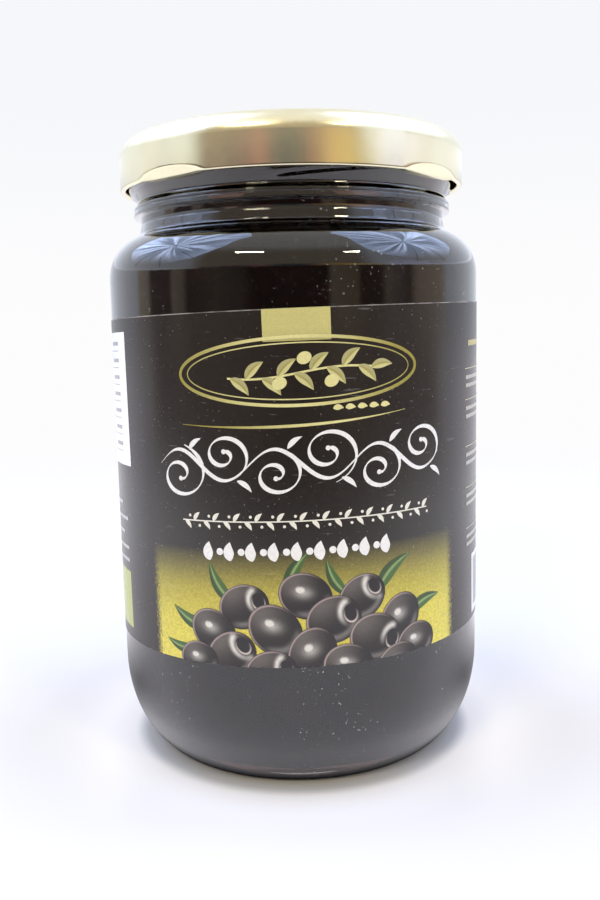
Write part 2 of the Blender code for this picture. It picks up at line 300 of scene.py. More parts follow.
def window(value, low, high, soft):
    """1 between low and high, 0 outside, with soft edges."""
    inside = ramp(value, low - soft, low + soft)
    return times(inside, ramp(value, high - soft, high + soft, 1.0, 0.0))


def mix(share, first, second):
    """One colour blended into another, each a socket or three numbers."""
    first, second = ((*end, 1.0) if isinstance(end, tuple) else end for end in (first, second))
    return add_node("Mix", {0: share, 6: first, 7: second}, data_type="RGBA").outputs[2]


def scaled(colour, share):
    """A colour made darker or brighter."""
    return add_node("VectorMath", {0: colour, 3: share}, operation="SCALE").outputs[0]


def colour_band(value, places):
    """The colours at places from 0 to 1, blended between them."""
    band = add_node("ValToRGB", {0: value})
    stops = band.color_ramp.elements
    for stop, (place, colour) in zip(stops, (places[0], places[-1])):
        stop.position, stop.color = place, (*colour, 1.0)
    for place, colour in places[1:-1]:
        stops.new(place).color = (*colour, 1.0)
    return band.outputs[0]


def place_in(source="Object"):
    """The place on a surface, by default in the object's own metres."""
    return add_node("TexCoord").outputs[source]


def split(place):
    """A place's three parts."""
    return add_node("SeparateXYZ", {0: place}).outputs


def reach_of(place, weights=(1.0, 1.0, 1.0)):
    """How far a place is from the origin, with its three parts weighted."""
    place = add_node("VectorMath", {0: place, 1: weights}, operation="MULTIPLY").outputs[0]
    return add_node("VectorMath", {0: place}, operation="LENGTH").outputs["Value"]


def noise(scale, detail=2.0, stretch=(1.0, 1.0, 1.0), source="Object"):
    """A noise value, its pattern stretched along the axes."""
    place = add_node("Mapping", {"Vector": place_in(source), "Scale": stretch}).outputs[0]
    return add_node("TexNoise", {"Vector": place, "Scale": scale, "Detail": detail}).outputs[0]


def bump(height, distance):
    """A bump from a height between 0 and 1."""
    return add_node("Bump", {"Strength": 1.0, "Distance": distance, "Height": height}).outputs[0]


def glow(colour, strength):
    """Light of a colour, given off by the surface."""
    return add_node("Emission", {"Color": colour, "Strength": strength}).outputs[0]


def mix_shaders(share, first, second):
    """One shader blended into another."""
    return add_node("MixShader", {0: share, 1: first, 2: second}).outputs[0]


def bare_tree(owner):
    """Empties the node tree of a material or a world and takes it in work."""
    owner.use_nodes = True
    Work.tree = owner.node_tree
    Work.tree.nodes.clear()


def new_finish(name, **values):
    """A Principled material, its tree taken in work."""
    made = bpy.data.materials.new(name)
    made.use_nodes = True
    Work.tree = made.node_tree
    for key, value in values.items():
        Work.tree.nodes["Principled BSDF"].inputs[key.replace("_", " ")].default_value = value
    return made


def feed(made, **sockets):
    """Links sockets to the material's shader, and returns the material."""
    shader = made.node_tree.nodes["Principled BSDF"]
    for key, socket in sockets.items():
        Work.tree.links.new(socket, shader.inputs[key.replace("_", " ")])
    return made


def glass_finish():
    """Clear soda-lime glass with the faint waviness of a moulded jar, and a little dust."""
    clear, dusty = (0.95, 0.965, 0.955), (0.55, 0.55, 0.54)
    made = new_finish("clear_glass", IOR=1.5, Roughness=0.0, Coat_Weight=1.0, Coat_Roughness=0.0)
    waves = bump(noise(60.0, 0.0, (1.0, 1.0, 0.6)), 0.05 * MM)
    dust = times(ramp(noise(2200.0, 1.0), 0.7, 0.74), ramp(noise(70.0, 1.0), 0.48, 0.62, 0.05, 1.0))
    return feed(made, Base_Color=mix(dust, clear, dusty), Normal=waves, Coat_Normal=waves,
                Transmission_Weight=maths("MULTIPLY_ADD", dust, -0.45, 1.0))


def wetted_finish():
    """The inside of the glass, where the brine wets it and hardly any light is turned back."""
    made = new_finish("wetted_glass", IOR=1.001, Roughness=0.0, Transmission_Weight=1.0)
    return feed(made, Base_Color=mix(noise(500.0), (0.92, 0.94, 0.93), (0.97, 0.98, 0.975)))


def brine_finish():
    """Dark brown brine, a little cloudy."""
    made = new_finish("dark_brine", IOR=1.001, Roughness=0.0, Transmission_Weight=1.0)
    cloud = ramp(noise(120.0, 3.0), 0.3, 0.75)
    return feed(made, Base_Color=mix(cloud, (0.075, 0.038, 0.03), (0.12, 0.062, 0.048)))


def olive_finish():
    """Glossy black olive skin with brown mottling and fine wrinkles."""
    black, brown = (0.012, 0.007, 0.008), (0.05, 0.026, 0.022)
    made = new_finish("olive_skin", Specular_IOR_Level=0.35)
    mottle = ramp(noise(260.0, 4.0), 0.35, 0.75)
    return feed(made, Base_Color=mix(mottle, black, brown),
                Roughness=ramp(mottle, 0.0, 1.0, 0.22, 0.42),
                Normal=bump(noise(900.0, 4.0, (1.0, 1.0, 0.4)), 0.12 * MM))


def lid_finish():
    """Gold-lacquered tinplate, rolled, a little scuffed and duller where its edge is drawn."""
    deep, pale, rubbed = (0.88, 0.825, 0.58), (0.9, 0.85, 0.61), (0.91, 0.86, 0.66)
    made = new_finish("gold_lacquer", Metallic=1.0)
    streak = ramp(noise(900.0, 3.0, (1.0, 1.0, 0.12)), 0.25, 0.8)
    scuff = ramp(noise(1500.0, 4.0), 0.66, 0.76)
    place = place_in()
    across = reach_of(place, (1.0, 1.0, 0.0))
    drawn = times(ramp(split(place)[2], LID_TOP - 4.0 * MM, LID_TOP - 2.2 * MM),
                  ramp(across, LID_RADIUS - 4.6 * MM, LID_RADIUS - 3.4 * MM))
    rough = maths("ADD", ramp(streak, 0.0, 1.0, 0.15, 0.17), times(scuff, 0.08))
    return feed(made, Base_Color=mix(scuff, mix(streak, deep, pale), rubbed),
                Roughness=maths("MULTIPLY_ADD", drawn, 0.13, rough),
                Normal=bump(noise(160.0, 2.0), 0.02 * MM))


def label_finish():
    """Satin black label paper, with a yellow field under the picture and pale cut edges."""
    made = new_finish("label_paper", Specular_IOR_Level=0.75)
    u, v, _ = split(place_in("UV"))
    u = maths("MULTIPLY_ADD", u, LABEL_LENGTH, -LABEL_LENGTH / 2)
    v = times(v, LABEL_HEIGHT)
    grain = noise(1300.0, 3.0)
    black = mix(grain, (0.0075, 0.0032, 0.0029), (0.0115, 0.0058, 0.005))
    field = colour_band(maths("DIVIDE", v, FIELD_TOP), FIELD_COLOURS)
    speckle = noise(2600.0, 2.0)
    field = scaled(field, ramp(speckle, 0.35, 0.7, 0.82, 1.08))
    frayed = maths("MULTIPLY_ADD", speckle, 2.0 * FIELD_FRAY, -FIELD_FRAY)
    inside = window(maths("ADD", u, frayed), *FIELD_SIDES, 1.1)
    block = times(window(u, *BLOCK_SIDES, 0.15), window(v, *BLOCK_HEIGHTS, 0.15))
    colour = mix(block, mix(inside, black, field), BLOCK_GREEN)
    dust = ramp(noise(2400.0, 1.0), 0.745, 0.77)
    scratch = ramp(noise(160.0, 2.0, (1.0, 1.0, 12.0)), 0.7, 0.74, 0.0, 0.35)
    wear = maths("MAXIMUM", dust, scratch)
    cut_edge = times(ramp(v, LABEL_HEIGHT - 0.19, LABEL_HEIGHT - 0.12),
                     ramp(noise(260.0, 3.0), 0.35, 0.65, 0.25, 0.9))
    colour = mix(times(wear, 0.28), colour, (0.55, 0.55, 0.56))
    rough = maths("ADD", ramp(grain, 0.3, 0.7, 0.22, 0.26), times(wear, 0.25))
    relief = maths("ADD", grain, times(noise(90.0, 2.0), 3.0))
    return feed(made, Base_Color=mix(cut_edge, colour, (0.36, 0.34, 0.32)),
                Roughness=rough, Normal=bump(relief, 0.006 * MM))


def ink_finish(name, scale, detail, shades, roughness, **values):
    """Ink in the colours of its points, with a fine screen mottle."""
    made = new_finish(name, Specular_IOR_Level=0.75, **values)
    colour = add_node("Attribute", attribute_name="ink").outputs["Color"]
    mottle = noise(scale, detail)
    return feed(made, Base_Color=scaled(colour, ramp(mottle, 0.3, 0.7, *shades)),
                Roughness=ramp(mottle, 0.3, 0.7, *roughness),
                Normal=bump(mottle, 0.004 * MM))


# Making the glass

def heel(inner, outer, low, high, steps):
    """The heel's curve, from (inner, low) outwards and up to (outer, high)."""
    turn = np.linspace(0.0, 0.5 * pi, steps + 1)
    across, up = HEEL_ROUNDNESS
    return list(zip(inner + (outer - inner) * np.sin(turn) ** (2.0 / across),
                    low + (high - low) * (1.0 - np.abs(np.cos(turn)) ** (2.0 / up))))


def shoulder(outer, start_z, rise, inner, neck, steps):
    """The shoulder's curve from the body up to the neck's radius."""
    across, up = SHOULDER_ROUNDNESS
    last = math.acos(((neck - inner) / (outer - inner)) ** (across / 2.0))
    turn = np.linspace(0.0, last, steps + 1)
    return list(zip(inner + (outer - inner) * np.cos(turn) ** (2.0 / across),
                    start_z + rise * np.sin(turn) ** (2.0 / up)))


def outer_outline():
    """The glass from the middle of its underside, out and up to the top of the rim."""
    share = np.linspace(0.0, 1.0, 9)
    points = list(zip(RING_INNER_RADIUS * share,
                      PUSH_UP_HEIGHT * (1.0 - share ** PUSH_UP_FLATNESS)))
    points += heel(RING_OUTER_RADIUS, BODY_RADIUS, 0.0, HEEL_TOP, 26)
    points += line((BODY_RADIUS, HEEL_TOP), (BODY_RADIUS, SHOULDER_START), 12)[1:-1]
    points += shoulder(BODY_RADIUS, SHOULDER_START, SHOULDER_RISE, SHOULDER_INNER_RADIUS,
                       NECK_FOOT_RADIUS, 26)
    points += [(radius * MM, z * MM) for radius, z in NECK_OUTLINE]
    points += line(FINISH_FOOT, FINISH_SHOULDER, 12)
    points += line(FINISH_SHOULDER, (FINISH_SHOULDER[0], RIM_TOP - RIM_ROUNDING), 34)[1:]
    points += arc((FINISH_SHOULDER[0] - RIM_ROUNDING, RIM_TOP - RIM_ROUNDING), RIM_ROUNDING,
                  0, 90, 5)[1:]
    return points


def inner_outline(steps=16, extra=0.0):
    """The inside of the glass, from the rim down to the middle of the floor."""
    inside = BODY_RADIUS - WALL + extra
    floor = PUSH_UP_HEIGHT + FLOOR - extra
    bore = BORE_RADIUS + extra
    points = arc((bore + RIM_ROUNDING, RIM_TOP - RIM_ROUNDING), RIM_ROUNDING, 90, 180, 5)
    curve = shoulder(inside, SHOULDER_START - 2 * SHOULDER_THICKENING,
                     SHOULDER_RISE - SHOULDER_THICKENING, SHOULDER_INNER_RADIUS - WALL + extra,
                     bore + BORE_ROUNDING / 2, steps)
    points += [(bore, curve[-1][1] + 2 * BORE_ROUNDING)] + curve[::-1]
    points += heel(FLOOR_RADIUS, inside, floor - FLOOR_SAG, INNER_HEEL_TOP, steps)[::-1]
    points.append((0.0, floor))
    return points


def cut_threads(radius, turn, z):
    """Raises the screw threads on the outside of the finish."""
    height = np.zeros_like(radius)
    for index in range(THREADS):
        off = np.mod(turn - THREAD_START - index * tau / THREADS + pi, tau) - pi
        share = off / THREAD_SWEEP
        fade = ease(share / THREAD_END) * ease((1.0 - share) / THREAD_END)
        middle = THREAD_LOW + THREAD_RISE * np.clip(share, 0.0, 1.0)
        height += fade * ease(1.6 * (1.0 - np.abs(z - middle) / THREAD_HALF))
    outside = (radius > NECK_RADIUS) & (z > FINISH_FOOT[1] - 0.01 * MM)
    return radius + np.where(outside, THREAD_HEIGHT * height, 0.0), z


def make_glass():
    """The glass: its outside is glossy, its inside is wetted by the brine."""
    outside = outer_outline()
    points, faces = lathe(outside + inner_outline(), GLASS_STEPS, cut_threads)
    made = add_piece("glass_shell", points, faces, [glass_finish(), wetted_finish()])
    inner_faces = np.arange(len(faces)) >= (len(outside) - 1) * GLASS_STEPS
    made.data.polygons.foreach_set("material_index", inner_faces.astype(np.int32))
    weld(made)
    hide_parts("jar_glass")
    return made


# Making the contents

def make_brine():
    """The liquid, which reaches a little way into the glass and ends under the lid."""
    inside = [point for point in inner_outline(extra=WETTING) if point[1] < BRINE_TOP]
    surface = [(0.0, BRINE_TOP), (inside[0][0] - WALL, BRINE_TOP),
               (inside[0][0], BRINE_TOP + WETTING)]
    points, faces = lathe(surface + inside, GLASS_STEPS // 2)
    made = add_piece("brine", points, faces, [brine_finish()])
    weld(made)
    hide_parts("olives")
    return made


def bore_at(z):
    """The inner radius of the glass at heights."""
    outline = np.array(inner_outline(40))[::-1]
    return np.interp(z, outline[:, 1], outline[:, 0])


def olive_shape(rng):
    """One pitted olive about its own centre: an egg with a round hole at its top end."""
    polar = 0.5 * pi * np.linspace(-1.0, 1.0, OLIVE_ROWS)
    radius, z = np.cos(polar), np.sin(polar)
    rim = np.cos(math.asin(PIT_RADIUS))
    keep = z < rim
    hole = [(PIT_RADIUS * share, rim - depth) for share, depth in PIT_OUTLINE]
    outline = list(zip(radius[keep], z[keep])) + hole
    phase = rng.uniform(0.0, tau)
    lobes = rng.choice((2, 3))
    dent = rng.uniform(0.02, 0.05)

    def shape(radius, turn, z):
        return radius * (1.0 + dent * np.cos(lobes * turn + phase) * (1.0 - z * z)), z

    points, faces = lathe(outline, OLIVE_SIDES, shape)
    return points * (OLIVE_HALF_WIDTH, OLIVE_HALF_WIDTH, OLIVE_HALF_LENGTH), faces


def make_olives():
    """Whole olives one deep against the glass, row over row, round the heap's own core."""
    rng = random.Random(SEED)
    core_z = np.linspace(CORE_BOTTOM, CORE_TOP, 60)
    depth = CORE_FOOT + (CORE_DEPTH - CORE_FOOT) * ease((core_z - CORE_BOTTOM) / CORE_FOOT_HEIGHT)
    core = [(0.0, CORE_BOTTOM), *zip(bore_at(core_z) - depth, core_z), (0.0, CORE_TOP)]
    points, faces = lathe(core, 64)
    groups, quads, count = [points], list(faces), len(points)
    layers = [(LAYER_START + LAYER_PITCH * i, OLIVES_A_LAYER) for i in range(LAYERS)]
    layers.append((NECK_LAYER_Z, NECK_OLIVES))
    for number, (z, share) in enumerate(layers):
        for i in range(share):
            turn = tau * (i + 0.5 * (number % 2)) / share + rng.uniform(-TURN_SPREAD, TURN_SPREAD)
            height = z + rng.uniform(-HEIGHT_SPREAD, HEIGHT_SPREAD)
            lie = Euler([rng.uniform(0.0, pi) for _ in range(3)]).to_matrix()
            points, faces = olive_shape(rng)
            points = points @ np.array(lie).T + (0.0, 0.0, height)
            way = around(1.0, turn, 0.0)
            out = float(bore_at(height))
            while np.any(np.linalg.norm((points + way * out)[:, :2], axis=1)
                         > bore_at(points[:, 2]) - OLIVE_GAP) and out > OLIVE_NUDGE:
                out -= OLIVE_NUDGE
            groups.append(points + way * out)
            quads += [tuple(corner + count for corner in face) for face in faces]
            count += len(points)
    made = add_piece("olive_pile", np.vstack(groups), quads, [olive_finish()])
    weld(made)
    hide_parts("olives")
    return made


# Making the lid

def lid_outline():
    """The lid between two lugs, from the middle of its top, down the side and back inside."""
    panel_z = LID_TOP - PANEL_DROP
    button_z = panel_z + BUTTON_RISE
    points = line((0.0, button_z), (BUTTON_RADIUS - BUTTON_EDGE, button_z), 3)
    points += slope(points[-1], (BUTTON_RADIUS, panel_z), 8)[1:]
    points += line(points[-1], (PANEL_RADIUS, panel_z), 8)[1:]
    points += slope(points[-1], (PANEL_RADIUS + PANEL_STEP, LID_TOP), 12)[1:]
    points += arc((LID_RADIUS - LID_SHOULDER, LID_TOP - LID_SHOULDER), LID_SHOULDER, 90, 0, 14)
    half = CURL_WIDTH / 2
    middle = (LID_RADIUS - half, LID_EDGE + CURL_ROUNDING)
    points += line(points[-1], (LID_RADIUS, middle[1]), 44)[1:]
    points += arc(middle, (half, CURL_ROUNDING), 0, -90, 8)[1:]
    points += arc((middle[0], LID_EDGE + CURL_INNER_ROUNDING), (half, CURL_INNER_ROUNDING),
                  -90, -180, 8)[1:]
    inside = LID_RADIUS - LID_SHEET
    seal_z = RIM_TOP + LID_SHEET / 2
    points += [(LID_RADIUS - CURL_WIDTH, LID_EDGE + CURL_HEIGHT),
               (inside, LID_EDGE + CURL_HEIGHT + 2 * LID_SHEET)]
    points += line(points[-1], (inside, seal_z - LID_SHOULDER / 2), 6)[1:]
    points += [(inside - LID_SHOULDER / 2, seal_z), (PANEL_RADIUS, seal_z),
               (PANEL_RADIUS - LID_SHEET, panel_z - LID_SHEET), (0.0, panel_z - LID_SHEET)]
    return points


def press_lugs(radius, turn, z):
    """Turns the lower edge inwards at four places, under an arched crease."""
    off = np.mod(turn - LUG_CENTRE + pi / LUGS, tau / LUGS) - pi / LUGS
    arch = np.sqrt(np.clip(1.0 - (off / LUG_HALF_WIDTH) ** 2, 0.0, 1.0))
    depth = np.clip(LID_EDGE + (LUG_CREASE_Z - LID_EDGE) * arch - z, 0.0, None)
    edge = radius > LID_RADIUS - 1.05 * CURL_WIDTH
    inwards = np.maximum(radius - depth, np.minimum(radius, LUG_TIP_RADIUS))
    return np.where(edge, inwards, radius), z - np.where(edge, LUG_DROP * depth, 0.0)


def make_lid():
    """The twist-off lid with its recessed panel, button, shoulder, rolled edge and lugs."""
    points, faces = lathe(lid_outline(), LID_STEPS, press_lugs)
    made = add_piece("lid_shell", points, faces, [lid_finish()])
    weld(made)
    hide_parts("lid")
    return made


# Making the label and its print

def turned(places, lie):
    """Flat places turned about the origin."""
    cos, sin = math.cos(lie), math.sin(lie)
    return places @ np.array([[cos, sin], [-sin, cos]])


def on_label(places, lift):
    """Points in space for places (u, v) on the label, lifted off its face."""
    along, up = np.moveaxis(turned(np.asarray(places, float), LABEL_TILT) * MM, -1, 0)
    return around(LABEL_RADIUS + lift, along / LABEL_RADIUS, LABEL_BOTTOM + up)


def make_label():
    """The paper sheet, open at the back."""
    columns, rows = 280, 40
    u = np.linspace(-LABEL_LENGTH / 2, LABEL_LENGTH / 2, columns + 1)
    v = np.linspace(0.0, LABEL_HEIGHT, rows + 1)
    loop_v = np.concatenate([v, v[::-1]])
    lift = np.concatenate([np.zeros(rows + 1), np.full(rows + 1, -LABEL_THICKNESS)])
    places = np.stack(np.meshgrid(u, loop_v, indexing="ij"), axis=-1)
    points = on_label(places, lift).reshape(-1, 3)
    loop = len(loop_v)
    faces = grid_faces(columns + 1, loop, True)
    last = columns * loop
    for start in (0, last):
        end = start + loop - 1
        faces += [(start + j, start + j + 1, end - 1 - j, end - j) for j in range(rows)]
    made = add_piece("label_paper", points, faces, [label_finish()])
    weld(made)
    lay_flat(made, "sheet", places.reshape(-1, 2) / (LABEL_LENGTH, LABEL_HEIGHT) + (0.5, 0.0))
    made.data.set_sharp_from_angle(angle=radians(50.0))
    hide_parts("label")
    return made


class Print:
    """Thin printed shapes on the label, a little higher layer by layer where they overlap."""

    def __init__(self):
        self.points, self.colours, self.faces = [], [], []
        self.count = self.layer = 0

    def add(self, places, colours, faces):
        """Adds one shape. Nothing is printed below the label's cut edge."""
        places = np.array(places, float)
        places[:, 1] = np.clip(places[:, 1], 0.02, LABEL_HEIGHT - 0.02)
        self.points.append(on_label(places, PRINT_LIFT + PRINT_LAYER * self.layer))
        self.colours.append(np.broadcast_to(colours, (len(places), 3)))
        self.faces += [tuple(corner + self.count for corner in face) for face in faces]
        self.count += len(places)

    def grid(self, places, colours):
        """Adds a grid of places."""
        rows, columns = places.shape[:2]
        colours = np.broadcast_to(colours, (rows, columns, 3)).reshape(-1, 3)
        self.add(places.reshape(-1, 2), colours, grid_faces(rows, columns, False))

    def box(self, u0, v0, u1, v1, colour):
        """A plain rectangle."""
        across, up = (int(abs(size) / PRINT_STEP) + 2 for size in (u1 - u0, v1 - v0))
        u, v = np.linspace(u0, u1, across), np.linspace(v1, v0, up)
        self.grid(np.stack(np.meshgrid(u, v), axis=-1), colour)

    def ribbon(self, route, widths, colour, across=3):
        """A stroke along a route, with its width at each point."""
        route = np.asarray(route, float)
        along = np.gradient(route, axis=0)
        along /= np.maximum(np.linalg.norm(along, axis=1, keepdims=True), 1e-9)
        side = np.stack([-along[:, 1], along[:, 0]], axis=-1)
        share = np.linspace(0.5, -0.5, across)[:, None, None]
        widths = np.broadcast_to(widths, len(route))[None, :, None]
        self.grid(route[None] + side[None] * widths * share, colour)

    def disc(self, centre, radii, lie, colour, rings=6, sides=32):
        """An ellipse or circle. colour is one colour, or gives one at each place on a unit disc."""
        turn = np.linspace(0.0, tau, sides + 1)
        share = np.linspace(1.0, 0.0, rings + 1)[:, None]
        unit = np.stack([share * np.cos(turn), share * np.sin(turn)], axis=-1)
        places = turned(unit * radii, lie) + centre
        self.grid(places, colour(unit) if callable(colour) else colour)

    def leaf(self, root, lie, length, width, edge, rib, shadow=0.0):
        """A pointed leaf with a rib in another colour, one half of it in shadow."""
        share = np.linspace(0.0, 1.0, 17)
        route = np.stack([length * share, 0.1 * length * np.sin(pi * share)], axis=-1)
        shape = width * np.sin(pi * share ** 0.8) ** 0.9
        side = np.linspace(-1.0, 1.0, 7)[:, None, None]
        colours = np.array(rib) + (np.array(edge) - np.array(rib)) * ease(np.abs(side) / 0.35)
        colours = colours * (1.0 - shadow * (side < 0)) * np.ones((1, len(route), 1))
        self.ribbon(turned(route, lie) + root, shape, colours, across=7)

    def build(self, name, finish):
        """Makes the mesh of everything added."""
        made = add_piece(name, np.vstack(self.points), self.faces, [finish])
        tint = made.data.color_attributes.new("ink", "FLOAT_COLOR", "POINT")
        colours = np.vstack(self.colours)
        tint.data.foreach_set("color", np.column_stack([colours, np.ones(len(colours))]).ravel())
        return made


GOLD_PALE = np.array((0.8, 0.75, 0.34))
GOLD_DEEP = np.array((0.35, 0.3, 0.05))
WHITE = (0.84, 0.83, 0.82)
CREAM = (0.8, 0.77, 0.68)
GRAY = (0.34, 0.34, 0.35)
GARLAND_V = 25.3  # how high the garland runs


def gold_along(route, centre, spread):
    """Gold that is palest near a place along a route and deeper away from it."""
    share = ease(np.abs(np.asarray(route)[:, 0] - centre) / spread)[None, :, None]
    return GOLD_PALE + (GOLD_DEEP - GOLD_PALE) * share


TAB_SIDES = (-4.0, 7.25)
TAB_GOLD = np.array((0.73, 0.67, 0.25))
OVAL = (1.65, 50.2)  # middle of the oval frame
OVAL_LINES = (  # radii, width of the line, reach of its pale gold
    ((21.0, 5.6), 0.55, 22.0), ((19.5, 4.6), 0.2, 26.0))
LEAF_GOLD = GOLD_PALE * 0.85
SWOOSH = (-19.4, 20.3)  # of the curved line


def print_gold():
    """The tab at the top, an oval frame with a sprig, the line under it and small lozenges."""
    ink = Print()
    v = np.linspace(LABEL_HEIGHT, OVAL[1] + 4.9, 6)
    shade = (0.86 - 0.25 * ease((v - 57.0) / -2.5))[:, None, None]
    ink.grid(np.stack(np.meshgrid(np.linspace(*TAB_SIDES, 10), v), axis=-1), TAB_GOLD * shade)
    ink.layer = 1
    for radii, width, spread in OVAL_LINES:
        oval = arc(OVAL, radii, 0.0, 360.0, 120)
        ink.ribbon(oval, width, gold_along(oval, 0.0, spread))

    def on_stem(along):
        return np.stack([along + OVAL[0], OVAL[1] + 0.8 * np.sin(along / 5.0) - 0.3], axis=-1)

    ink.ribbon(on_stem(np.linspace(-12.0, 12.5, 40)), 0.35, GOLD_PALE)
    ink.layer = 2
    for number, along in enumerate(np.linspace(-11.5, 10.0, 9)):
        lie = radians(42.0 if number % 2 else -42.0)
        ink.leaf(on_stem(along), lie, 4.2, 1.7, LEAF_GOLD, GOLD_DEEP, 0.3)
    ink.leaf((12.3 + OVAL[0], OVAL[1]), 0.1, 4.0, 1.6, LEAF_GOLD, GOLD_DEEP, 0.3)
    ink.layer = 3
    for along, rise in ((-3.2, -1.9), (1.0, 2.1), (5.4, -1.8)):
        ink.disc((along + OVAL[0], OVAL[1] + rise), (1.25, 1.0), 0.4, GOLD_PALE)
    u = np.linspace(*SWOOSH, 80)
    share = (u - SWOOSH[0]) / (SWOOSH[1] - SWOOSH[0])
    swoosh = np.stack([u, 41.8 - 4.2 * share * (1.0 - share) + share], axis=-1)
    width = 0.08 + 0.42 * np.sin(pi * share) ** 1.2
    ink.ribbon(swoosh, width, gold_along(swoosh, 7.0, 24.0))
    for u in np.linspace(8.0, 16.4, 5):
        ink.leaf((u - 0.9, 43.8), 0.0, 1.8, 0.95, GOLD_PALE, GOLD_PALE)
    finish = ink_finish("gold_ink", 4200.0, 2.0, (0.92, 1.04), (0.32, 0.42), Metallic=0.2)
    return ink.build("print_gold", finish)


def pen(route, thick, thin=0.22, slant=0.9):
    """Widths of a broad pen held at a slant: thick down one way, thin across it."""
    along = np.gradient(np.asarray(route), axis=0)
    heading = np.arctan2(along[:, 1], along[:, 0])
    share = np.linspace(0.0, 1.0, len(route))
    ends = ease(share / 0.08) * ease((1.0 - share) / 0.08)
    return (thin + (thick - thin) * np.abs(np.sin(heading - slant)) ** 1.5) * (0.25 + 0.75 * ends)


def scroll(centre, radius, start, turns, way):
    """A spiral that winds in from its outer end."""
    share = np.linspace(0.0, 1.0, 60)
    turn = start + way * tau * turns * share
    reach = radius * (1.0 - 0.86 * share ** 0.8)
    return np.stack([1.15 * reach * np.cos(turn), reach * np.sin(turn)], axis=-1) + centre


def print_flourish(ink):
    """A white pen flourish: a wave with a scroll curling off each crest."""
    left, right, middle = -25.0, 28.0, 34.9
    periods = 3
    length = (right - left) / periods
    u = np.linspace(left, right, 160)
    wave = np.stack([u, middle + 2.6 * np.sin(tau * (u - left) / length)], axis=-1)
    ink.ribbon(wave, pen(wave, 0.7), WHITE)
    for index in range(2 * periods):
        up = -1.0 if index % 2 else 1.0
        centre = (left + length * (0.25 + 0.5 * index), middle - 1.7 * up)
        radius = 4.4 if index % 3 else 5.2
        ring = scroll(centre, radius, radians(78.0 * up), 1.45, -up)
        ink.layer += 1
        ink.ribbon(ring, pen(ring, 0.78), WHITE)
        ink.disc(ring[-1], 0.42, 0.0, WHITE, rings=2, sides=16)
        ink.leaf((centre[0] + 2.2, middle + 2.6 * up), radians(38.0 * up), 3.2, 0.9, WHITE, WHITE)
    ink.layer = 0


def print_rows(ink):
    """A thin garland and, under it, a bold row of lozenges and dots."""
    ink.ribbon(line((-20.5, GARLAND_V), (24.7, GARLAND_V), 39), 0.22, CREAM)
    ink.layer = 1
    for number, u in enumerate(np.arange(-20.0, 24.0, 1.9)):
        side = 1.0 if number % 2 else -1.0
        ink.leaf((u, GARLAND_V), radians(50.0 * side), 1.9, 0.75, CREAM, CREAM)
        ink.disc((u + 1.1, GARLAND_V - 0.85 * side), 0.26, 0.0, CREAM, rings=2, sides=12)
    ink.layer = 0
    for number, u in enumerate(np.arange(-15.3, 16.2, 1.95)):
        if number % 2:
            ink.disc((u, 20.1), 0.62, 0.0, WHITE, rings=3, sides=20)
        else:
            ink.leaf((u, 18.5), radians(90.0), 3.3, 1.9, WHITE, WHITE)


FATNESS = 0.84  # of a painted olive
OLIVE_DARK = np.array((0.006, 0.0025, 0.0025))
OLIVE_LIT = np.array((0.042, 0.03, 0.025))
GLEAM = np.array((0.72, 0.69, 0.64))
RIM_LIGHT = np.array((0.5, 0.38, 0.36))
HOLE_DARK = np.array((0.005, 0.0025, 0.0025))
HOLE_LIT = np.array((0.62, 0.54, 0.5))
HOLE_PLACE = 0.62  # of a painted pit hole, as a share of the olive's half length
HOLE_RADII = (0.26, 0.4)


def printed_skin(unit, lie, pitted):
    """Colours over a painted olive: light from the upper left, a gleam and a lit rim."""
    x, y = np.moveaxis(turned(unit, lie), -1, 0)
    reach = np.hypot(x, y)
    facing = np.sqrt(np.clip(1.0 - reach ** 2, 0.0, 1.0))
    light = np.clip(-0.42 * x + 0.62 * y + 0.55 * facing, 0.0, 1.0)
    gleam = 0.14 * light ** 4
    below = ease((0.5 * x - 0.8 * y - 0.25) / 0.4)
    gleam += 0.2 * np.exp(-((reach - 0.78) / 0.12) ** 2) * below
    if pitted:
        away = np.hypot((unit[..., 0] - HOLE_PLACE) / HOLE_RADII[0], unit[..., 1] / HOLE_RADII[1])
        collar = np.exp(-((away - 1.45) / 0.3) ** 2) * ease((y + 0.45) / 0.8)
        gleam += collar * ease((HOLE_PLACE + 0.1 - unit[..., 0]) / 0.2)
    else:
        gleam += 0.5 * np.exp(-((x + 0.08) ** 2 / 0.1 + (y - 0.14) ** 2 / 0.05))
        gleam += 0.8 * ease((0.16 - np.hypot(0.8 * x + 0.14, y - 0.26)) / 0.06)
    edge = ease((reach - 0.9) / 0.05) * ease((1.0 - reach) / 0.04) * ease(0.25 - 0.8 * x + 0.5 * y)
    colour = OLIVE_DARK + OLIVE_LIT * (light ** 2)[..., None]
    colour += (GLEAM - colour) * np.clip(gleam, 0.0, 1.0)[..., None]
    return colour + (RIM_LIGHT - colour) * (0.8 * edge)[..., None]


def printed_hole(unit, lie):
    """Colours of a painted pit hole: black, with a lit lower lip."""
    y = turned(unit, lie)[..., 1]
    reach = np.hypot(unit[..., 0], unit[..., 1])
    lip = ease((reach - 0.74) / 0.16) * (0.4 - 0.75 * y)
    return HOLE_DARK + HOLE_LIT * np.clip(lip, 0.0, 1.0)[..., None]


LEAF_GREEN = (0.055, 0.125, 0.025)
LEAF_RIB = (0.28, 0.4, 0.14)

PAINTED_LEAVES = (  # root u and v, lie in degrees, length
    (-15.5, 6.5, 158, 9.0), (-11.0, 11.0, 122, 8.5), (-2.0, 12.5, 62, 8.5), (8.5, 12.0, 118, 7.5),
    (13.5, 11.5, 42, 9.5), (19.5, 6.5, 18, 8.5), (-19.0, 2.5, 172, 7.0), (4.0, 5.0, 100, 8.5))

